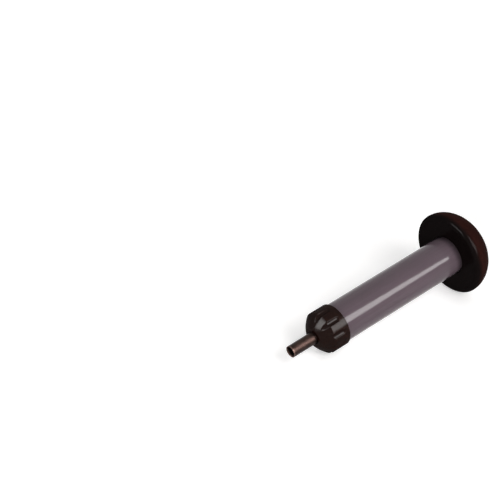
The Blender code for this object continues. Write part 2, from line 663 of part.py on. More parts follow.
bit_tube, bit_shank, clamp_washer = build_bit()
hang([bit_tube, bit_shank], bit_axis, dark_steel)
hang([clamp_washer], bit_axis, bright_steel)
hang([build_collar()], collar_axis, black_plastic)

bit_socket, drive_sleeve = build_socket()
hang([build_barrel_tube()], TOOL_AXIS, grey_plastic)
hang([bit_socket, build_plug()], TOOL_AXIS, black_plastic)
spindle_parts = build_spindle()
thrust_washer, flat_washer, wave_washer = build_washers()
hang([drive_sleeve, *spindle_parts, flat_washer, wave_washer], TOOL_AXIS, bright_steel)
hang([thrust_washer], TOOL_AXIS, nylon)

knob_dome, knob_base, knob_bush = build_knob()
hang([knob_dome, knob_base], knob_axis, black_plastic)
hang([knob_bush], knob_axis, brass)
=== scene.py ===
"""Looks of a hand-turned paper drill, laid out as an add-on and run as a script.

Turned pieces are drawn upright: their outline stands beside the Z axis, point by point, and is spun round.
lay_down then puts a piece on the tool's own axis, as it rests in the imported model. Lengths are in metres.
"""

import json
import math

import bpy
from mathutils import Matrix, Vector


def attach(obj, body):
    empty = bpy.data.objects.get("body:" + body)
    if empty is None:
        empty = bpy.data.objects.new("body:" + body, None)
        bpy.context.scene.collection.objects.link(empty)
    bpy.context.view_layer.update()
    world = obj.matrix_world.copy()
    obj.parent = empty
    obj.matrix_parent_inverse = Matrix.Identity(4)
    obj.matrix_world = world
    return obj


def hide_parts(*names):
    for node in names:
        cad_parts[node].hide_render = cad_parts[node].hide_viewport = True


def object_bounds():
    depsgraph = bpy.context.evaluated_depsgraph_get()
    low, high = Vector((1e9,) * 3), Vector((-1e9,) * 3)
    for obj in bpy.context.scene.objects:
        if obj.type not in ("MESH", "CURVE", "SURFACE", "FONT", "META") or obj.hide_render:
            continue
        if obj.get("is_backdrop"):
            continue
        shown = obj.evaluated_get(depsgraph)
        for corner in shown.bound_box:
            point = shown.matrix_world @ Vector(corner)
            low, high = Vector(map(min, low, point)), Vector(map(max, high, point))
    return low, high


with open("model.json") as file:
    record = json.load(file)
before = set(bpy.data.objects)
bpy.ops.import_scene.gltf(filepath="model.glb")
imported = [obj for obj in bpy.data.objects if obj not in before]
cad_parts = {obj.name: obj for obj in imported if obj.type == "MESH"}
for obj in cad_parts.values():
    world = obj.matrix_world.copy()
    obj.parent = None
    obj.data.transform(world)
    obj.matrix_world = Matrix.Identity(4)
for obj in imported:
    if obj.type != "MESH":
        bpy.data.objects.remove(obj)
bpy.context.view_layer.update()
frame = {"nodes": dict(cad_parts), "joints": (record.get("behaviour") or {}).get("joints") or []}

bl_info = {
    "name": "Paper Drill",
    "version": (1, 0, 0),
    "blender": (4, 5, 0),
    "location": "3D View > Sidebar > Paper Drill",
    "description": "Models a hand-turned paper drill with its finishes, lamps and camera",
    "category": "Object",
}

MM = 0.001
FULL_TURN = 2 * math.pi
SMOOTH_ANGLE = math.radians(32)

# Gaps between the pieces

FIT_GAP = 0.3 * MM
THREAD_GAP = 0.07 * MM

# How finely the pieces are drawn

MERGE_DISTANCE = MM / 1000
JUST_PAST = MM / 100
THREAD_BAND = 0.05 * MM
SUPPORT_MARGIN = 0.12 * MM
TUBE_FACET = 8 * MM
BIT_FACET = 4 * MM
KNOB_FACET = 3 * MM
ROUNDING_FACETS = 4
NOSE_FACETS = 9
NOSE_ROUNDING_FACETS = 6
DOME_FACETS = 56
RIM_FACETS = 16
INNER_DOME_FACETS = 20

# A groove of the thread: half its flat bottom and one flank, as shares of the pitch

BOTTOM_SHARE = 0.12
FLANK_SHARE = 0.2

# The stage's plain colours and places

LAMP_COLOUR = (1.0, 0.985, 0.975)
FILL_COLOUR = (1.0, 0.985, 0.985, 1)
FLOOR_COLOUR = (0.8, 0.8, 0.8, 1)
WHITE = (1, 1, 1, 1)
FLOOR_WIDTH = 8
SENSOR_WIDTH = 36
NEAREST_SEEN = 0.01
FARTHEST_SEEN = 50
AIM = Vector((0, 0, 20 * MM))


# The tool's axis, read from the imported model

def outline_points(name):
    """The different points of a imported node."""
    points = {tuple(round(value, 7) for value in vertex.co) for vertex in frame["nodes"][name].data.vertices}
    return [Vector(point) for point in points]


def middle(points):
    return sum(points, Vector()) / len(points)


AXIS = Vector(next(joint["axis"] for joint in frame["joints"] if joint["name"] == "knob_spin")).normalized()
BARREL_MIDDLE = middle(outline_points("barrel_tube"))
TIP = BARREL_MIDDLE + AXIS * min((point - BARREL_MIDDLE).dot(AXIS) for point in outline_points("bit_tube"))
TILT = math.atan2(AXIS.z, math.hypot(AXIS.x, AXIS.y))
LYING = Matrix.Translation(TIP) @ Matrix.Rotation(math.pi / 2 - TILT, 4, "Y")


def span(name):
    """A node's front and back along the tool's axis, and its smallest and largest radius about it."""
    points = [LYING.inverted() @ point for point in outline_points(name)]
    radii = [math.hypot(point.x, point.y) for point in points]
    heights = [point.z for point in points]
    return min(heights), max(heights), min(radii), max(radii)


BARREL_FRONT, BARREL_BACK, BARREL_BORE, BARREL_RADIUS = span("barrel_tube")
COLLAR_FRONT, COLLAR_BACK, COLLAR_HOLE, COLLAR_RADIUS = span("collar_nut")
BIT_FRONT, BIT_BACK, BIT_BORE, BIT_RADIUS = span("bit_tube")
SHANK_FRONT, SHANK_BACK, SHANK_HOLE, SHANK_FLANGE_RADIUS = span("bit_shank")
SOCKET_FRONT, SOCKET_BACK, SOCKET_THROAT, SOCKET_RADIUS = span("bit_socket")
_, SLEEVE_BACK, _, SLEEVE_RADIUS = span("drive_sleeve")
KNOB_FACE, KNOB_TOP, _, KNOB_RADIUS = span("knob_dome")
_, BASE_BACK, BASE_HOLE, BASE_RADIUS = span("knob_base")


# Sizes and colours that a user would change

def length(name, description, millimetres):
    return bpy.props.FloatProperty(name=name, description=description, default=millimetres * MM,
                                   min=0, precision=4, unit="LENGTH", subtype="DISTANCE")


def count(name, description, number):
    return bpy.props.IntProperty(name=name, description=description, default=number, min=3)


def share(name, description, value):
    return bpy.props.FloatProperty(name=name, description=description, default=value, min=0, max=1,
                                   subtype="FACTOR")


def colour(name, description, value):
    return bpy.props.FloatVectorProperty(name=name, description=description, default=value, min=0, max=1,
                                         size=3, subtype="COLOR")


def bearing(name, description, around, above):
    return bpy.props.FloatVectorProperty(name=name, description=description, size=2, unit="ROTATION",
                                         default=(math.radians(around), math.radians(above)))


def lamp_size(name, width, height):
    return bpy.props.FloatVectorProperty(name=name, description="Width and height in metres", size=2,
                                         default=(width, height), min=0)


def lamp_power(name, watts):
    return bpy.props.FloatProperty(name=name, description="Power in watts", default=watts, min=0,
                                   subtype="POWER")


class DrillCollarSizes(bpy.types.PropertyGroup):
    nose_length: length("Nose length", "Length of the conical nose along the axis", 6.5)
    nose_face_radius: length("Nose face radius", "Radius of the flat ring round the bit", 6.25)
    nose_bulge: length("Nose bulge", "How far the nose swells outside a straight cone", 0.4)
    edge_round: length("Edge rounding", "Rounding between the nose and the grip", 0.6)
    rim_round: length("Rim rounding", "Rounding of the plain rim's back edge", 0.35)
    mouth_round: length("Mouth rounding", "Rounding of the hole at the nose", 0.25)
    chamber_radius: length("Chamber radius", "Radius of the chamber for the bit's flange", 7.2)
    nose_wall: length("Nose wall", "Thickness of the nose's wall round the bit", 4.2)
    thread_crest_radius: length("Thread crest radius", "Innermost radius of the collar's thread", 9.97)
    thread_root_radius: length("Thread root radius", "Outermost radius of the collar's thread", 10.5)
    flute_count: count("Flutes", "Number of grip flutes", 10)
    flute_width: length("Flute width", "Width of a flute on the grip", 3.4)
    flute_depth: length("Flute depth", "Depth of a flute on the grip", 0.8)
    flute_rim: length("Plain rim", "Length of the collar's back that has no flutes", 2.7)
    flute_start_radius: length("Flute start radius", "Radius on the nose where the flutes run out", 11.0)
    flute_softness: length("Flute edge softness", "How far the edges of a flute are eased", 0.2)
    steps_per_flute: count("Steps per flute", "Facets round the collar for each flute", 40)
    facet: length("Facet", "Longest facet along the grip and the nose", 0.24)


class DrillSocketSizes(bpy.types.PropertyGroup):
    thread_pitch: length("Thread pitch", "Travel of the collar for each turn", 2.5)
    thread_depth: length("Thread depth", "Depth of the thread on the socket's nose", 0.55)
    thread_end: length("Thread end", "Plain length between the thread and the barrel", 0.2)
    edge_round: length("Edge rounding", "Rounding of the socket's edges", 0.25)
    lip: length("Throat lip", "Thickness of the lip behind the drive sleeve", 1.0)
    mouth_wall: length("Mouth wall", "Wall at the wide end of the throat", 1.5)
    facet: length("Facet", "Longest facet along the thread", 0.22)
    steps: count("Steps", "Facets round the socket", 144)


class DrillBitSizes(bpy.types.PropertyGroup):
    bevel_depth: length("Edge bevel depth", "Depth of the bevel inside the cutting edge", 0.9)
    edge_land: length("Edge land", "Flat ring that is left at the cutting edge", 0.2)
    edge_round: length("Edge rounding", "Wear on the cutting edge", 0.05)
    across_flats: length("Across flats", "Width of the hexagonal shank", 10.0)
    flange_thickness: length("Flange thickness", "Thickness of the shank's flange", 2.0)
    flange_round: length("Flange rounding", "Rounding of the flange's edges", 0.2)
    end_chamfer: length("End chamfer", "Chamfer at the shank's back end", 0.6)
    steps: count("Steps", "Facets round the bit", 144)


class DrillBarrelSizes(bpy.types.PropertyGroup):
    edge_round: length("Edge rounding", "Rounding of the tube's outer edges", 0.3)
    bore_round: length("Bore rounding", "Rounding of the tube's inner edges", 0.15)
    steps: count("Steps", "Facets round the tube", 256)


class DrillKnobSizes(bpy.types.PropertyGroup):
    rim_round: length("Rim rounding", "Rounding of the knob's lower edge", 2.8)
    wall: length("Wall", "Thickness of the dome's wall", 2.6)
    base_thickness: length("Base thickness", "Thickness of the flat base", 2.6)
    ledge_width: length("Ledge width", "Width of the ledge that the base sits on", 1.6)
    cup_wall: length("Cup wall", "Wall of the cup round the barrel's end", 2.0)
    web_thickness: length("Web thickness", "Thickness of the web that holds the bush", 2.5)
    mouth_round: length("Mouth rounding", "Rounding of the base round the barrel", 0.4)
    seam: length("Seam", "Width of the fine seam between the base and the dome", 0.07)
    seam_round: length("Seam rounding", "Rounding on both sides of the seam", 0.1)
    clearance: length("Clearance", "Gap between pieces that turn or fit in each other", 0.3)
    steps: count("Steps", "Facets round the knob", 256)


class DrillFinishes(bpy.types.PropertyGroup):
    grey_tube: colour("Grey tube", "Colour of the barrel's plastic", (0.098, 0.073, 0.087))
    black_knob: colour("Black knob", "Colour of the knob's plastic", (0.0045, 0.0030, 0.0030))
    # Painted warm light: a lighter reddish brown painted on the knob's dome, for the warm light on it, while
    # the underside keeps the black
    painted_knob_light: colour("Painted knob light", "Lighter brown painted on the dome for the warm light on it",
                        (0.024, 0.007, 0.0055))
    black_collar: colour("Black collar", "Colour of the collar's plastic", (0.0088, 0.0030, 0.0020))
    dark_steel: colour("Blackened steel", "Colour of the bit", (0.027, 0.017, 0.0145))
    bright_steel: colour("Bright steel", "Colour of the plain steel pieces", (0.52, 0.52, 0.53))
    brass: colour("Brass", "Colour of the bush", (0.72, 0.52, 0.20))
    nylon: colour("Nylon", "Colour of the thrust washer", (0.72, 0.70, 0.64))
    knob_gloss: share("Knob gloss", "Weight of the polished coat on the knob", 0.02)
    collar_gloss: share("Collar gloss", "Weight of the polished coat on the collar", 0.07)
    tube_gloss: share("Tube gloss", "Specular level of the grey tube", 0.15)
    tube_rough: share("Tube roughness", "Roughness of the grey tube", 0.09)
    knob_rough: share("Knob roughness", "Roughness of the knob", 0.11)
    collar_rough: share("Collar roughness", "Roughness of the collar", 0.17)
    socket_rough: share("Socket roughness", "Roughness of the threaded socket", 0.24)
    plug_rough: share("Plug roughness", "Roughness of the barrel's plug", 0.28)
    steel_rough: share("Steel roughness", "Roughness of the plain steel pieces", 0.28)
    brass_rough: share("Brass roughness", "Roughness of the bush", 0.3)


class DrillStage(bpy.types.PropertyGroup):
    camera_place: bpy.props.FloatVectorProperty(name="Camera place", description="Where the camera stands",
                                                default=(-0.603109, -0.605065, 0.565369), subtype="XYZ")
    camera_turn: bpy.props.FloatVectorProperty(
        name="Camera turn", description="How the camera is turned",
        default=(math.radians(58.84805), math.radians(0.210845), math.radians(-39.557758)), subtype="EULER")
    camera_lens: bpy.props.FloatProperty(name="Lens", description="The camera's focal length",
                                         default=119.636, subtype="DISTANCE_CAMERA")
    main_from: bearing("Main lamp bearing", "Direction and height of the main lamp", -90, 39)
    main_size: lamp_size("Main lamp size", 0.6, 0.6)
    main_power: lamp_power("Main lamp", 10)
    front_from: bearing("Front lamp bearing", "Direction and height of the low lamp in front", -147, 16)
    front_power: lamp_power("Front lamp", 11)
    back_from: bearing("Back lamp bearing", "Direction and height of the low lamp behind", 63, 17)
    back_power: lamp_power("Back lamp", 9.4)
    top_from: bearing("Top lamp bearing", "Direction and height of the lamp above", -60, 65)
    top_power: lamp_power("Top lamp", 3.2)
    lamp_width: bpy.props.FloatProperty(name="Lamp width", description="Width of the smaller lamps",
                                        default=0.6, min=0, unit="LENGTH")
    panel_from: bearing("Panel bearing", "Direction and height of the panel that is seen in the gloss",
                        -77.9, 33.1)
    panel_roll: bpy.props.FloatProperty(name="Panel roll", description="How far the panel leans over",
                                        default=math.radians(32), unit="ROTATION")
    panel_size: lamp_size("Panel size", 0.95, 0.95)
    panel_power: lamp_power("Panel", 52)
    window_from: bearing("Window bearing", "Direction and height of the small panel that is seen in the nose",
                         169, 25)
    window_size: lamp_size("Window size", 0.7, 0.5)
    window_power: lamp_power("Window", 25)
    lamp_distance: length("Lamp distance", "How far the lamps stand from the drill", 1300)
    fill: bpy.props.FloatProperty(name="Fill", description="Light from all round", default=0.01, min=0)
    floor_glow: share("Floor glow", "What the white floor adds where the camera sees it", 0.46)


# Modelling by hand, step by step

def start_piece(name, piece):
    """Name the piece that was just added, and deselect everything else."""
    bpy.ops.object.select_all(action="DESELECT")
    piece.select_set(True)
    bpy.context.view_layer.objects.active = piece
    piece.name = name
    piece.data.name = name
    return piece


def soften(corners, facets=ROUNDING_FACETS):
    """Outline points from corners of (radius, height, rounding): each rounded corner becomes a small arc."""
    points = []
    for i, (radius, height, rounding) in enumerate(corners):
        corner = Vector((radius, height))
        if not rounding:
            points.append(corner)
            continue
        before = (Vector(corners[i - 1][:2]) - corner).normalized()
        after = (Vector(corners[(i + 1) % len(corners)][:2]) - corner).normalized()
        half = before.angle(after) / 2
        centre = corner + (before + after).normalized() * (rounding / math.sin(half))
        first = corner + before * (rounding / math.tan(half)) - centre
        last = corner + after * (rounding / math.tan(half)) - centre
        sweep = first.angle_signed(last)
        for step in range(facets + 1):
            points.append(centre + Matrix.Rotation(-sweep * step / facets, 2) @ first)
    return points


def divide(points, longest):
    """The same outline with points added, so that no stretch of it is longer than longest.

    A long stretch also gets a point close to each of its ends, which keeps the shading of the roundings
    off it.
    """
    divided = [points[0]]
    for start, end in zip(points, points[1:]):
        stretch = (end - start).length
        pieces = math.ceil(stretch / longest)
        shares = [i / pieces for i in range(1, pieces + 1)]
        if stretch > 6 * SUPPORT_MARGIN:
            shares = sorted({*shares, SUPPORT_MARGIN / stretch, 1 - SUPPORT_MARGIN / stretch})
        divided += [start.lerp(end, part) for part in shares]
    return divided


def arc(centre, radii, start, end, steps):
    """Points on an arc or part of an ellipse about centre; angles run from the radius towards the height."""
    angles = [start + (end - start) * i / steps for i in range(steps + 1)]
    return [Vector((centre[0] + radii[0] * math.cos(a), centre[1] + radii[1] * math.sin(a))) for a in angles]


def bulge(start, end, rise, steps):
    """Points between start and end on a shallow arc, which stands outside the straight line by rise."""
    start, end = Vector(start), Vector(end)
    chord = end - start
    outwards = Vector((-chord.y, chord.x)).normalized() * rise
    shares = [i / steps for i in range(1, steps)]
    return [start + chord * part + outwards * 4 * part * (1 - part) for part in shares]


def turn(name, outline, steps, closed=True):
    """Draw an outline beside the Z axis, point by point, and spin it right round."""
    start = outline[0]
    bpy.ops.object.select_all(action="DESELECT")
    bpy.ops.mesh.primitive_plane_add(size=MM, location=(start.x, 0, start.y))
    piece = start_piece(name, bpy.context.object)
    bpy.ops.object.transform_apply(location=True, rotation=True, scale=True)
    bpy.ops.object.mode_set(mode="EDIT")
    bpy.ops.mesh.select_all(action="SELECT")
    bpy.ops.mesh.merge(type="CENTER")
    ends = outline[1:] + [start] if closed else outline[1:]
    for before, after in zip(outline, ends):
        step = after - before
        bpy.ops.mesh.extrude_region_move(TRANSFORM_OT_translate={"value": (step.x, 0, step.y)})
    bpy.ops.mesh.select_all(action="SELECT")
    bpy.ops.mesh.remove_doubles(threshold=MERGE_DISTANCE)
    bpy.ops.mesh.spin(steps=steps, angle=FULL_TURN, center=(0, 0, 0), axis=(0, 0, 1))
    bpy.ops.mesh.select_all(action="SELECT")
    bpy.ops.mesh.remove_doubles(threshold=MERGE_DISTANCE)
    bpy.ops.mesh.normals_make_consistent(inside=False)
    bpy.ops.object.mode_set(mode="OBJECT")
    return piece


def press_flutes(piece, path, tool_radius, number, softness):
    """Press a ring of grooves into a piece.

    Its surface gives way to round bars that lie along path, which is given as (radius, height).
    """
    pitch = FULL_TURN / number
    bars = [(a.x, a.y, b.x - a.x, b.y - a.y) for a, b in zip(path, path[1:])]
    reach = tool_radius + softness
    for vertex in piece.data.vertices:
        x, y, z = vertex.co
        radius = math.hypot(x, y)
        angle = math.atan2(y, x)
        swing = round(angle / pitch) * pitch
        out, side = radius * math.cos(angle - swing), radius * math.sin(angle - swing)
        if abs(side) > reach:
            continue
        best = None
        for start, low, run, rise in bars:
            along = min(max(((out - start) * run + (z - low) * rise) / (run * run + rise * rise), 0), 1)
            away = (out - start - along * run, side, z - low - along * rise)
            distance = math.hypot(*away)
            if best is None or distance < best[0]:
                best = (distance, away)
        distance, away = best
        inside = tool_radius - distance
        if inside <= -softness:
            continue
        push = inside if inside >= softness else (inside + softness) ** 2 / (4 * softness)
        out += away[0] / distance * push
        side += away[1] / distance * push
        z += away[2] / distance * push
        vertex.co = (out * math.cos(swing) - side * math.sin(swing),
                     out * math.sin(swing) + side * math.cos(swing), z)


def cut_thread(piece, low, high, thread_radius, pitch, depth):
    """Cut a right-hand thread into the round face that lies at thread_radius, between two heights."""
    fade = pitch / 2
    for vertex in piece.data.vertices:
        radius = math.hypot(vertex.co.x, vertex.co.y)
        if not low <= vertex.co.z <= high or abs(radius - thread_radius) > THREAD_BAND:
            continue
        phase = (vertex.co.z / pitch - math.atan2(vertex.co.y, vertex.co.x) / FULL_TURN) % 1
        flank = min(max((abs(phase - 0.5) - BOTTOM_SHARE) / FLANK_SHARE, 0), 1)
        groove = 1 - flank * flank * (3 - 2 * flank)
        ends = min(1, (vertex.co.z - low) / fade, (high - vertex.co.z) / fade)
        scale = (radius + depth * groove * max(ends, 0)) / radius
        vertex.co.x *= scale
        vertex.co.y *= scale


def mill_flats(piece, low, across_flats):
    """Mill six flats on the part of a turned piece that lies above low."""
    for vertex in piece.data.vertices:
        radius = math.hypot(vertex.co.x, vertex.co.y)
        if vertex.co.z < low or not radius:
            continue
        angle = math.atan2(vertex.co.y, vertex.co.x)
        from_flat = (angle + math.pi / 6) % (math.pi / 3) - math.pi / 6
        scale = min(1, across_flats / 2 / math.cos(from_flat) / radius)
        vertex.co.x *= scale
        vertex.co.y *= scale


def lay_down(piece):
    """Put an upright piece on the tool's axis, and leave its place in its mesh."""
    start_piece(piece.name, piece)
    piece.matrix_world = LYING
    bpy.ops.object.transform_apply(location=True, rotation=True, scale=True)
    bpy.ops.object.shade_smooth_by_angle(angle=SMOOTH_ANGLE)


def fit(piece, body, node, finish):
    """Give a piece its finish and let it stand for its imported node."""
    lay_down(piece)
    piece.data.materials.clear()
    piece.data.materials.append(finish)
    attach(piece, body)
    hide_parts(node)


# Finishes

class Finish:
    """A material in the making: its nodes read the tool's own coordinates, with Z along the axis."""

    def __init__(self, name):
        self.material = bpy.data.materials.new(name)
        self.material.use_nodes = True
        self.tree = self.material.node_tree
        self.shader = self.tree.nodes["Principled BSDF"]
        coordinates = self.node("ShaderNodeTexCoord")
        mapping = self.node("ShaderNodeMapping")
        mapping.vector_type = "TEXTURE"
        mapping.inputs["Location"].default_value = TIP
        mapping.inputs["Rotation"].default_value = (0, math.pi / 2 - TILT, 0)
        self.join(coordinates.outputs["Object"], mapping.inputs["Vector"])
        self.place = mapping.outputs["Vector"]

    def node(self, kind):
        made = self.tree.nodes.new(kind)
        made.location = (-220 * (len(self.tree.nodes) - 1), 0)
        return made

    def join(self, output, socket):
        self.tree.links.new(output, socket)

    def feed(self, socket, value):
        if isinstance(value, bpy.types.NodeSocket):
            self.join(value, socket)
        else:
            socket.default_value = value

    def constant(self, **values):
        """Set plain values on the shader's own sockets."""
        for name, value in values.items():
            self.shader.inputs[name.replace("_", " ")].default_value = value

    def math(self, operation, first, second=0.0, third=0.0):
        made = self.node("ShaderNodeMath")
        made.operation = operation
        for socket, value in zip(made.inputs, (first, second, third)):
            self.feed(socket, value)
        return made.outputs[0]

    def ramp(self, value, low, high, to_low=0.0, to_high=1.0):
        """A smooth step from to_low to to_high as value goes from low to high."""
        made = self.node("ShaderNodeMapRange")
        made.interpolation_type = "SMOOTHSTEP"
        for name, number in (("Value", value), ("From Min", low), ("From Max", high),
                             ("To Min", to_low), ("To Max", to_high)):
            self.feed(made.inputs[name], number)
        return made.outputs["Result"]

    def stretched(self, scale):
        """The tool's coordinates, stretched by a scale for each direction."""
        made = self.node("ShaderNodeVectorMath")
        made.operation = "MULTIPLY"
        self.join(self.place, made.inputs[0])
        made.inputs[1].default_value = scale
        return made.outputs["Vector"]

    def noise(self, scale, detail=2.0, roughness=0.5, place=None):
        made = self.node("ShaderNodeTexNoise")
        self.join(place or self.place, made.inputs["Vector"])
        made.inputs["Scale"].default_value = scale
        made.inputs["Detail"].default_value = detail
        made.inputs["Roughness"].default_value = roughness
        return made.outputs["Fac"]

    def from_axis(self):
        """Distance from the tool's axis."""
        made = self.node("ShaderNodeVectorMath")
        made.operation = "LENGTH"
        self.join(self.stretched((1, 1, 0)), made.inputs[0])
        return made.outputs["Value"]

    def height(self):
        """Distance behind the bit's cutting edge."""
        made = self.node("ShaderNodeSeparateXYZ")
        self.join(self.place, made.inputs["Vector"])
        return made.outputs["Z"]

    def rings(self, scale, detail=2.0):
        """Noise that changes with the radius and the height only, like marks of turning."""
        made = self.node("ShaderNodeCombineXYZ")
        self.join(self.from_axis(), made.inputs["X"])
        self.join(self.height(), made.inputs["Z"])
        return self.noise(scale, detail, 0.6, made.outputs["Vector"])

    def mix(self, factor, first, second):
        made = self.node("ShaderNodeMix")
        made.data_type = "RGBA"
        self.feed(made.inputs["Factor"], factor)
        for socket, value in ((made.inputs["A"], first), (made.inputs["B"], second)):
            self.feed(socket, value)
        return made.outputs["Result"]

    def paint(self, value):
        self.join(value, self.shader.inputs["Base Color"])

    def polish(self, value):
        self.join(value, self.shader.inputs["Roughness"])

    def relief(self, height, depth):
        """Bump the surface by height, which runs from 0 to 1 over depth."""
        made = self.node("ShaderNodeBump")
        made.inputs["Strength"].default_value = 1.0
        made.inputs["Distance"].default_value = depth
        self.join(height, made.inputs["Height"])
        self.join(made.outputs["Normal"], self.shader.inputs["Normal"])
        self.join(made.outputs["Normal"], self.shader.inputs["Coat Normal"])


def shade(colour, factor):
    """A colour as four values, made lighter or darker by factor."""
    return (*[min(value * factor, 1) for value in colour], 1)


def tinted(colour, tint, factor):
    return (*[min(value * t * factor, 1) for value, t in zip(colour, tint)], 1)


def scuffs(finish, fine):
    """Thin scratches in two directions, from 0 to 1."""
    lengthwise = finish.stretched((fine, fine / 14, fine / 9))
    crosswise = finish.stretched((fine / 12, fine, fine / 7))
    first = finish.noise(scale=1, detail=3.0, roughness=0.55, place=lengthwise)
    second = finish.noise(scale=1, detail=3.0, roughness=0.55, place=crosswise)
    strongest = finish.math("MAXIMUM", first, second)
    return finish.ramp(strongest, 0.66, 0.76)


def black_moulding(name, colour, gloss, rough, worn_radius=None, wear_and_painted_light=None):
    """Polished black plastic with smudges, a few scuffs and the slight waviness of a moulding.

    It is worn where it lies outside worn_radius. Behind the knob's lower edge it takes a lighter brown of
    painted warm light, which stands for the light on the dome; the underside stays black.
    """
    finish = Finish(name)
    smudge = finish.noise(scale=55, detail=4.0, roughness=0.6)
    speck = finish.ramp(finish.noise(scale=1400, detail=2.0), 0.66, 0.74)
    tone = finish.mix(smudge, shade(colour, 0.85), shade(colour, 1.2))
    tone = finish.mix(finish.math("MULTIPLY", speck, 0.35), tone, shade(colour, 3.0))
    scratch = scuffs(finish, 2600)
    worn = finish.math("MULTIPLY_ADD", finish.ramp(smudge, 0.35, 0.75), 0.05, rough)
    worn = finish.math("MULTIPLY_ADD", scratch, 0.10, worn)
    if worn_radius:
        touched = finish.ramp(finish.from_axis(), worn_radius - 0.5 * MM, worn_radius)
        patchy = finish.math("MULTIPLY", touched, finish.ramp(finish.noise(scale=420, detail=3.0), 0.35, 0.7))
        worn = finish.math("MULTIPLY_ADD", patchy, 0.10, worn)
        tone = finish.mix(finish.math("MULTIPLY", patchy, 0.5), tone, shade(colour, 2.2))
    # Painted warm light: the dome behind the knob's lower edge is painted a lighter reddish brown for the
    # light falling on it; palm marks the dome, where the palm rests
    if wear_and_painted_light:
        palm = finish.ramp(finish.height(), KNOB_FACE + 0.8 * MM, KNOB_FACE + 5 * MM)
        palm = finish.math("MULTIPLY", palm, finish.ramp(smudge, 0.2, 0.7, 0.7, 1.0))
        tone = finish.mix(palm, tone, shade(wear_and_painted_light, 1.0))
    finish.paint(tone)
    finish.polish(worn)
    wave = finish.math("MULTIPLY_ADD", scratch, -0.15, finish.noise(scale=160, detail=2.0))
    finish.relief(wave, 0.012 * MM)
    finish.constant(Specular_IOR_Level=0.0, IOR=1.5, Coat_Weight=gloss, Coat_IOR=1.8, Coat_Roughness=rough)
    return finish.material


def grey_tube(colour, gloss, rough):
    """Extruded grey tube: glossy, with faint draw lines along it and a little haze."""
    finish = Finish("glossy_grey_tube")
    lines = finish.noise(scale=1, detail=4.0, roughness=0.55, place=finish.stretched((900, 900, 14)))
    broad = finish.noise(scale=1, detail=2.0, roughness=0.5, place=finish.stretched((150, 150, 9)))
    cloud = finish.noise(scale=70, detail=3.0)
    tone = finish.mix(finish.ramp(lines, 0.3, 0.7), shade(colour, 0.95), shade(colour, 1.05))
    tone = finish.mix(finish.math("MULTIPLY", finish.ramp(cloud, 0.3, 0.75), 0.5), tone,
                      tinted(colour, (1.04, 1.0, 1.02), 1.05))
    speck = finish.ramp(finish.noise(scale=1900, detail=2.0), 0.68, 0.75)
    tone = finish.mix(finish.math("MULTIPLY", speck, 0.3), tone, shade(colour, 0.6))
    # Painted shade: the tube is painted darker over its last few millimetres up to the knob, for the shade
    # that the knob throws on it there
    painted_knob_shade = finish.ramp(finish.height(), KNOB_FACE - 5 * MM, KNOB_FACE + 0.5 * MM, 0.0, 0.75)
    tone = finish.mix(painted_knob_shade, tone, shade(colour, 0.15))
    finish.paint(tone)
    haze = finish.math("MULTIPLY_ADD", finish.ramp(cloud, 0.35, 0.75), 0.03, rough)
    haze = finish.math("MULTIPLY_ADD", scuffs(finish, 2200), 0.05, haze)
    finish.polish(haze)
    ripple = finish.math("MULTIPLY_ADD", broad, 1.6, finish.math("MULTIPLY", lines, 0.25))
    finish.relief(ripple, 0.004 * MM)
    finish.constant(Specular_IOR_Level=gloss, IOR=1.5)
    return finish.material


def dark_steel(colour):
    """Blackened bit steel, worn bright at the cutting edge and streaked along its length."""
    finish = Finish("blackened_bit_steel")
    turned = finish.rings(5200, 3.0)
    wear_and_painted_light = finish.noise(scale=1, detail=4.0, roughness=0.6, place=finish.stretched((1500, 1500, 110)))
    patch = finish.noise(scale=240, detail=4.0, roughness=0.6)
    tone = finish.mix(finish.ramp(patch, 0.3, 0.7), shade(colour, 0.7), shade(colour, 1.25))
    tone = finish.mix(finish.math("MULTIPLY", finish.ramp(wear_and_painted_light, 0.55, 0.75), 0.45), tone,
                      shade(colour, 2.2))
    edge = finish.ramp(finish.height(), 1.2 * MM, 0.1 * MM)
    ground = finish.math("MULTIPLY", edge, finish.ramp(wear_and_painted_light, 0.2, 0.6, 0.35, 0.8))
    tone = finish.mix(ground, tone, shade(colour, 4.0))
    finish.paint(tone)
    rough = finish.math("MULTIPLY_ADD", finish.ramp(patch, 0.3, 0.7), 0.12, 0.36)
    rough = finish.math("MULTIPLY_ADD", wear_and_painted_light, 0.08, rough)
    finish.polish(rough)
    finish.relief(finish.math("ADD", turned, finish.math("MULTIPLY", wear_and_painted_light, 0.5)), 0.004 * MM)
    finish.constant(Metallic=1.0)
    return finish.material


def turned_metal(name, colour, rough):
    """Plain turned metal with fine rings, a few stains and oily patches."""
    finish = Finish(name)
    marks = finish.rings(4200, 4.0)
    stain = finish.noise(scale=300, detail=4.0, roughness=0.6)
    tone = finish.mix(finish.ramp(marks, 0.3, 0.7), shade(colour, 0.9), shade(colour, 1.08))
    tone = finish.mix(finish.math("MULTIPLY", finish.ramp(stain, 0.55, 0.8), 0.4), tone,
                      tinted(colour, (1.0, 0.93, 0.82), 0.75))
    finish.paint(tone)
    finish.polish(finish.math("MULTIPLY_ADD", finish.ramp(stain, 0.3, 0.8), 0.12, rough))
    finish.relief(marks, 0.006 * MM)
    finish.constant(Metallic=1.0)
    return finish.material


def nylon_moulding(colour):
    """Natural nylon: slightly translucent-looking, with soft mottling."""
    finish = Finish("natural_nylon")
    mottle = finish.noise(scale=500, detail=4.0, roughness=0.6)
    finish.paint(finish.mix(finish.ramp(mottle, 0.3, 0.7), shade(colour, 0.92), shade(colour, 1.04)))
    finish.polish(finish.math("MULTIPLY_ADD", mottle, 0.15, 0.38))
    finish.relief(mottle, 0.01 * MM)
    finish.constant(Specular_IOR_Level=0.4)
    return finish.material


# The pieces

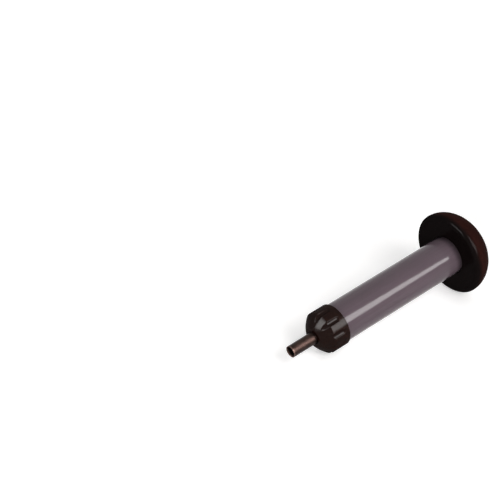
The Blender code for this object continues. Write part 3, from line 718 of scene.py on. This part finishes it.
class DRILL_OT_barrel(bpy.types.Operator):
    """Turn the grey barrel tube"""

    bl_idname = "drill.barrel"
    bl_label = "Barrel tube"

    def execute(self, context):
        sizes = context.scene.drill_barrel
        finishes = context.scene.drill_finishes
        outline = soften([
            (BARREL_RADIUS, BARREL_BACK, sizes.edge_round),
            (BARREL_RADIUS, BARREL_FRONT, sizes.edge_round),
            (BARREL_BORE, BARREL_FRONT, sizes.bore_round),
            (BARREL_BORE, BARREL_BACK, sizes.bore_round),
        ])
        tube = turn("grey_barrel", divide(outline, TUBE_FACET), sizes.steps)
        finish = grey_tube(finishes.grey_tube, finishes.tube_gloss, finishes.tube_rough)
        fit(tube, "barrel", "barrel_tube", finish)
        return {"FINISHED"}


class DRILL_OT_collar(bpy.types.Operator):
    """Turn the black screw collar, press its flutes and cut its thread"""

    bl_idname = "drill.collar"
    bl_label = "Screw collar"

    def execute(self, context):
        sizes = context.scene.drill_collar
        finishes = context.scene.drill_finishes
        edge = COLLAR_FRONT + sizes.nose_length
        chamber = COLLAR_FRONT + sizes.nose_wall
        thread_start = SOCKET_FRONT - FIT_GAP
        nose = bulge((COLLAR_RADIUS, edge), (sizes.nose_face_radius, COLLAR_FRONT), sizes.nose_bulge,
                     NOSE_FACETS)
        outer = soften([
            (sizes.thread_root_radius, COLLAR_BACK, 0),
            (COLLAR_RADIUS, COLLAR_BACK, sizes.rim_round),
            (COLLAR_RADIUS, edge, sizes.edge_round),
            *[(point.x, point.y, 0) for point in nose],
            (sizes.nose_face_radius, COLLAR_FRONT, sizes.mouth_round),
            (COLLAR_HOLE, COLLAR_FRONT, sizes.mouth_round),
            (COLLAR_HOLE, chamber, 0),
        ], NOSE_ROUNDING_FACETS)
        bore = soften([
            (COLLAR_HOLE, chamber, 0),
            (sizes.chamber_radius, chamber, sizes.mouth_round),
            (sizes.chamber_radius, thread_start, sizes.mouth_round),
            (sizes.thread_crest_radius, thread_start, 0),
            (sizes.thread_crest_radius, COLLAR_BACK - sizes.rim_round, 0),
            (sizes.thread_root_radius, COLLAR_BACK, 0),
        ])
        thread_steps = divide([bore[-3], bore[-2]], sizes.facet)
        outline = divide(outer, sizes.facet) + bore[1:-3] + thread_steps
        collar = turn("fluted_collar", outline, sizes.flute_count * sizes.steps_per_flute)

        depth = sizes.flute_depth
        tool = (sizes.flute_width ** 2 / 4 + depth ** 2) / (2 * depth)
        slope = math.atan2(COLLAR_RADIUS - sizes.nose_face_radius, sizes.nose_length)
        start = Vector((sizes.flute_start_radius,
                        COLLAR_FRONT + (sizes.flute_start_radius - sizes.nose_face_radius) / math.tan(slope)))
        corner = Vector((COLLAR_RADIUS - depth, edge))
        start += (start - corner).normalized() * tool
        path = [
            start + Vector((math.cos(slope), -math.sin(slope))) * tool,
            corner + Vector((math.cos(slope / 2), -math.sin(slope / 2))) * tool,
            Vector((COLLAR_RADIUS - depth + tool, COLLAR_BACK - sizes.flute_rim - tool)),
        ]
        press_flutes(collar, path, tool, sizes.flute_count, sizes.flute_softness)
        cut_thread(collar, thread_start + FIT_GAP, COLLAR_BACK - sizes.rim_round, sizes.thread_crest_radius,
                   context.scene.drill_socket.thread_pitch,
                   sizes.thread_root_radius - sizes.thread_crest_radius)
        finish = black_moulding("fluted_black_moulding", finishes.black_collar, finishes.collar_gloss,
                                finishes.collar_rough, worn_radius=COLLAR_RADIUS)
        fit(collar, "collar", "collar_nut", finish)
        return {"FINISHED"}


class DRILL_OT_bit(bpy.types.Operator):
    """Turn the hollow bit and mill its hexagonal shank"""

    bl_idname = "drill.bit"
    bl_label = "Hollow bit"

    def execute(self, context):
        sizes = context.scene.drill_bit
        finish = dark_steel(context.scene.drill_finishes.dark_steel)
        outline = soften([
            (BIT_RADIUS, BIT_BACK, sizes.edge_round),
            (BIT_RADIUS, BIT_FRONT, sizes.edge_round),
            (BIT_RADIUS - sizes.edge_land, BIT_FRONT, sizes.edge_round),
            (BIT_BORE, BIT_FRONT + sizes.bevel_depth, sizes.edge_round),
            (BIT_BORE, BIT_BACK, sizes.edge_round),
        ])
        tube = turn("cutting_tube", divide(outline, BIT_FACET), sizes.steps)
        fit(tube, "bit", "bit_tube", finish)

        corner = sizes.across_flats / 2 / math.cos(math.pi / 6)
        shoulder = SHANK_FRONT + sizes.flange_thickness
        outline = soften([
            (SHANK_HOLE, SHANK_BACK, 0),
            (corner - sizes.end_chamfer, SHANK_BACK, 0),
            (corner, SHANK_BACK - sizes.end_chamfer, 0),
            (corner, shoulder, 0),
            (SHANK_FLANGE_RADIUS, shoulder, sizes.flange_round),
            (SHANK_FLANGE_RADIUS, SHANK_FRONT, sizes.flange_round),
            (SHANK_HOLE, SHANK_FRONT, sizes.flange_round),
        ])
        shank = turn("hexagonal_shank", divide(outline, sizes.end_chamfer / 3), sizes.steps)
        mill_flats(shank, shoulder + JUST_PAST, sizes.across_flats)
        fit(shank, "bit", "bit_shank", finish)
        return {"FINISHED"}


class DRILL_OT_socket(bpy.types.Operator):
    """Turn the barrel's threaded nose, with its seat for the sleeve and its throat"""

    bl_idname = "drill.socket"
    bl_label = "Threaded socket"

    def execute(self, context):
        sizes = context.scene.drill_socket
        finishes = context.scene.drill_finishes
        nose = context.scene.drill_collar.thread_crest_radius - THREAD_GAP
        seat = SLEEVE_RADIUS + FIT_GAP
        seat_back = SLEEVE_BACK + FIT_GAP
        front = soften([
            (SOCKET_RADIUS, BARREL_FRONT, sizes.edge_round),
            (nose, BARREL_FRONT, 0),
            (nose, SOCKET_FRONT, sizes.edge_round),
            (seat, SOCKET_FRONT, sizes.edge_round),
            (seat, seat_back, 0),
        ])
        back = soften([
            (seat, seat_back, 0),
            (SOCKET_THROAT, seat_back, sizes.edge_round),
            (SOCKET_THROAT, seat_back + sizes.lip, sizes.edge_round),
            (SOCKET_RADIUS - sizes.mouth_wall, SOCKET_BACK, 0),
            (SOCKET_RADIUS, SOCKET_BACK, sizes.edge_round),
        ])
        socket = turn("threaded_socket", divide(front, sizes.facet) + back[1:], sizes.steps)
        cut_thread(socket, SOCKET_FRONT + FIT_GAP, BARREL_FRONT - sizes.thread_end, nose,
                   sizes.thread_pitch, -sizes.thread_depth)
        finish = black_moulding("threaded_black_moulding", finishes.black_collar, finishes.collar_gloss,
                                finishes.socket_rough)
        fit(socket, "barrel", "bit_socket", finish)
        return {"FINISHED"}


class DRILL_OT_knob(bpy.types.Operator):
    """Turn the palm knob's dome and the base that closes it round the barrel"""

    bl_idname = "drill.knob"
    bl_label = "Palm knob"

    def execute(self, context):
        sizes = context.scene.drill_knob
        finishes = context.scene.drill_finishes
        # The knob's dome gets painted warm light in a lighter brown
        finish = black_moulding("polished_black_moulding", finishes.black_knob, finishes.knob_gloss,
                                finishes.knob_rough, wear_and_painted_light=finishes.painted_knob_light)
        widest = KNOB_FACE + sizes.rim_round
        rise = KNOB_TOP - widest
        rim = KNOB_RADIUS - sizes.rim_round
        seat = BASE_RADIUS + sizes.clearance / 2 + sizes.seam / 2
        ledge = BASE_BACK + sizes.clearance
        inside = KNOB_RADIUS - sizes.wall
        turn_in = math.acos((seat - sizes.ledge_width) / inside)
        outer = arc((0, widest), (KNOB_RADIUS, rise), math.pi / 2, 0, DOME_FACETS)
        outer += arc((rim, widest), (sizes.rim_round, sizes.rim_round), 0, -math.pi / 2, RIM_FACETS)[1:]
        seam = soften([
            (rim, KNOB_FACE, 0),
            (seat, KNOB_FACE, sizes.seam_round),
            (seat, ledge, 0),
            (seat - sizes.ledge_width, ledge, 0),
        ])
        inner = arc((0, widest), (inside, rise - sizes.wall), turn_in, math.pi / 2, INNER_DOME_FACETS)
        outer[0].x = inner[-1].x = 0
        rim_ring = divide([outer[-1], *seam[1:-1]], KNOB_FACET)[1:]
        dome = turn("palm_dome", outer + rim_ring + inner, sizes.steps, closed=False)
        fit(dome, "knob", "knob_dome", finish)

        face = seat - sizes.seam
        web = span("knob_bush")[0]
        hole = BASE_HOLE
        mouth = BARREL_RADIUS + sizes.clearance
        web_back = web + sizes.web_thickness
        plate_back = KNOB_FACE + sizes.base_thickness
        outline = soften([
            (face, plate_back, 0),
            (face, KNOB_FACE, sizes.seam_round),
            (mouth, KNOB_FACE, sizes.mouth_round),
            (mouth, web, 0),
            (hole, web, sizes.mouth_round),
            (hole, web_back, sizes.mouth_round),
            (mouth + sizes.cup_wall, web_back, sizes.mouth_round),
            (mouth + sizes.cup_wall, plate_back, 0),
        ])
        base = turn("palm_base", divide(outline, KNOB_FACET), sizes.steps)
        fit(base, "knob", "knob_base", finish)
        return {"FINISHED"}


class DRILL_OT_inner_pieces(bpy.types.Operator):
    """Finish the pieces inside the barrel and the knob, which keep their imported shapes"""

    bl_idname = "drill.inner_pieces"
    bl_label = "Inner pieces"

    def execute(self, context):
        finishes = context.scene.drill_finishes
        steel = turned_metal("turned_bright_steel", finishes.bright_steel, finishes.steel_rough)
        steel_pieces = ("drive_sleeve", "clamp_washer", "spindle_screw", "spindle_nut", "lock_washer",
                        "flat_washer", "wave_washer")
        given = {
            **dict.fromkeys(steel_pieces, steel),
            "knob_bush": turned_metal("turned_brass", finishes.brass, finishes.brass_rough),
            "thrust_washer": nylon_moulding(finishes.nylon),
            "barrel_plug": black_moulding("plain_black_moulding", finishes.black_collar,
                                          finishes.collar_gloss, finishes.plug_rough),
        }
        for name, finish in given.items():
            piece = frame["nodes"][name]
            piece.data.materials.clear()
            piece.data.materials.append(finish)
        return {"FINISHED"}


class DRILL_OT_stage(bpy.types.Operator):
    """Set the white floor, the lamps, the panels that the gloss mirrors, the fill light and the camera"""

    bl_idname = "drill.stage"
    bl_label = "Stage"

    def execute(self, context):
        stage = context.scene.drill_stage
        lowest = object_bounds()[0].z
        bpy.ops.object.select_all(action="DESELECT")
        bpy.ops.mesh.primitive_plane_add(size=FLOOR_WIDTH, location=(0, 0, lowest))
        floor = start_piece("white_floor", context.object)
        floor.data.materials.append(self.floor_finish(stage.floor_glow))
        floor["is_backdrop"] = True
        small = (stage.lamp_width, stage.lamp_width)
        matt_lights = (
            self.lamp("main_lamp", stage.main_from, 0, stage.main_size, stage.main_power),
            self.lamp("front_lamp", stage.front_from, 0, small, stage.front_power),
            self.lamp("back_lamp", stage.back_from, 0, small, stage.back_power),
            self.lamp("top_lamp", stage.top_from, 0, small, stage.top_power),
        )
        for lamp in matt_lights:
            lamp.visible_glossy = False
        mirrored = (
            self.lamp("mirrored_panel", stage.panel_from, stage.panel_roll, stage.panel_size,
                      stage.panel_power),
            self.lamp("mirrored_window", stage.window_from, 0, stage.window_size, stage.window_power),
        )
        for lamp in mirrored:
            lamp.visible_diffuse = False
        self.surroundings(stage.fill)

        data = bpy.data.cameras.new("photo_camera")
        data.lens = stage.camera_lens
        data.sensor_width = SENSOR_WIDTH
        data.clip_start = NEAREST_SEEN
        data.clip_end = FARTHEST_SEEN
        camera = bpy.data.objects.new("photo_camera", data)
        camera.location = stage.camera_place
        camera.rotation_euler = stage.camera_turn
        context.scene.collection.objects.link(camera)
        context.scene.camera = camera
        context.scene.view_settings.view_transform = "Standard"
        return {"FINISHED"}

    def lamp(self, name, bearing, roll, size, power):
        """A soft lamp that looks at the drill from a bearing and a height, leaning over by roll."""
        turn, height = bearing
        level = math.cos(height)
        towards = Vector((math.cos(turn) * level, math.sin(turn) * level, math.sin(height)))
        data = bpy.data.lights.new(name, "AREA")
        data.shape = "RECTANGLE"
        data.size, data.size_y = size
        data.energy = power
        data.color = LAMP_COLOUR
        lamp = bpy.data.objects.new(name, data)
        lamp.location = AIM + towards * bpy.context.scene.drill_stage.lamp_distance
        facing = towards.to_track_quat("Z", "Y").to_matrix() @ Matrix.Rotation(roll, 3, "Z")
        lamp.rotation_euler = facing.to_euler()
        lamp.visible_camera = False
        bpy.context.scene.collection.objects.link(lamp)
        return lamp

    def seen(self, tree):
        """1 for rays that show the white surroundings: camera, glossy and transmission rays."""
        path = tree.nodes.new("ShaderNodeLightPath")
        first = tree.nodes.new("ShaderNodeMath")
        first.operation = "MAXIMUM"
        second = tree.nodes.new("ShaderNodeMath")
        second.operation = "MAXIMUM"
        tree.links.new(path.outputs["Is Camera Ray"], first.inputs[0])
        tree.links.new(path.outputs["Is Glossy Ray"], first.inputs[1])
        tree.links.new(first.outputs[0], second.inputs[0])
        tree.links.new(path.outputs["Is Transmission Ray"], second.inputs[1])
        return second.outputs[0]

    def floor_finish(self, glow):
        """White floor that is pure white to the camera and still takes the drill's shadow."""
        material = bpy.data.materials.new("white_floor")
        material.use_nodes = True
        tree = material.node_tree
        tree.nodes.clear()
        matt = tree.nodes.new("ShaderNodeBsdfDiffuse")
        matt.inputs["Color"].default_value = FLOOR_COLOUR
        light = tree.nodes.new("ShaderNodeEmission")
        strength = tree.nodes.new("ShaderNodeMath")
        strength.operation = "MULTIPLY"
        strength.inputs[1].default_value = glow
        total = tree.nodes.new("ShaderNodeAddShader")
        output = tree.nodes.new("ShaderNodeOutputMaterial")
        tree.links.new(self.seen(tree), strength.inputs[0])
        tree.links.new(strength.outputs[0], light.inputs["Strength"])
        tree.links.new(matt.outputs[0], total.inputs[0])
        tree.links.new(light.outputs[0], total.inputs[1])
        tree.links.new(total.outputs[0], output.inputs["Surface"])
        return material

    def surroundings(self, fill):
        """Plain soft light from all round, which the camera and reflections see as white."""
        world = bpy.data.worlds.new("white_surroundings")
        world.use_nodes = True
        tree = world.node_tree
        tree.nodes.clear()
        soft = tree.nodes.new("ShaderNodeBackground")
        soft.inputs["Color"].default_value = FILL_COLOUR
        soft.inputs["Strength"].default_value = fill
        white = tree.nodes.new("ShaderNodeBackground")
        white.inputs["Color"].default_value = WHITE
        white.inputs["Strength"].default_value = 1.0
        chosen = tree.nodes.new("ShaderNodeMixShader")
        output = tree.nodes.new("ShaderNodeOutputWorld")
        tree.links.new(self.seen(tree), chosen.inputs["Fac"])
        tree.links.new(soft.outputs[0], chosen.inputs[1])
        tree.links.new(white.outputs[0], chosen.inputs[2])
        tree.links.new(chosen.outputs[0], output.inputs["Surface"])
        bpy.context.scene.world = world


class DRILL_PT_panel(bpy.types.Panel):
    """Paper drill: each step and the sizes and colours that it uses"""

    bl_idname = "DRILL_PT_panel"
    bl_label = "Paper Drill"
    bl_space_type = "VIEW_3D"
    bl_region_type = "UI"
    bl_category = "Paper Drill"

    def draw(self, context):
        layout = self.layout
        for operator, group in STEPS:
            box = layout.box()
            box.operator(operator.bl_idname)
            if group:
                settings = getattr(context.scene, group)
                for name in type(settings).__annotations__:
                    box.prop(settings, name)


GROUPS = {
    "drill_finishes": DrillFinishes,
    "drill_barrel": DrillBarrelSizes,
    "drill_collar": DrillCollarSizes,
    "drill_bit": DrillBitSizes,
    "drill_socket": DrillSocketSizes,
    "drill_knob": DrillKnobSizes,
    "drill_stage": DrillStage,
}
STEPS = (
    (DRILL_OT_barrel, "drill_barrel"),
    (DRILL_OT_collar, "drill_collar"),
    (DRILL_OT_bit, "drill_bit"),
    (DRILL_OT_socket, "drill_socket"),
    (DRILL_OT_knob, "drill_knob"),
    (DRILL_OT_inner_pieces, "drill_finishes"),
    (DRILL_OT_stage, "drill_stage"),
)


def register():
    for name, group in GROUPS.items():
        bpy.utils.register_class(group)
        setattr(bpy.types.Scene, name, bpy.props.PointerProperty(type=group))
    for operator, _ in STEPS:
        bpy.utils.register_class(operator)
    bpy.utils.register_class(DRILL_PT_panel)


def unregister():
    bpy.utils.unregister_class(DRILL_PT_panel)
    for operator, _ in reversed(STEPS):
        bpy.utils.unregister_class(operator)
    for name, group in reversed(GROUPS.items()):
        delattr(bpy.types.Scene, name)
        bpy.utils.unregister_class(group)


def main():
    register()
    bpy.ops.drill.barrel()
    bpy.ops.drill.collar()
    bpy.ops.drill.bit()
    bpy.ops.drill.socket()
    bpy.ops.drill.knob()
    bpy.ops.drill.inner_pieces()
    bpy.ops.drill.stage()


if __name__ == "__main__":
    main()
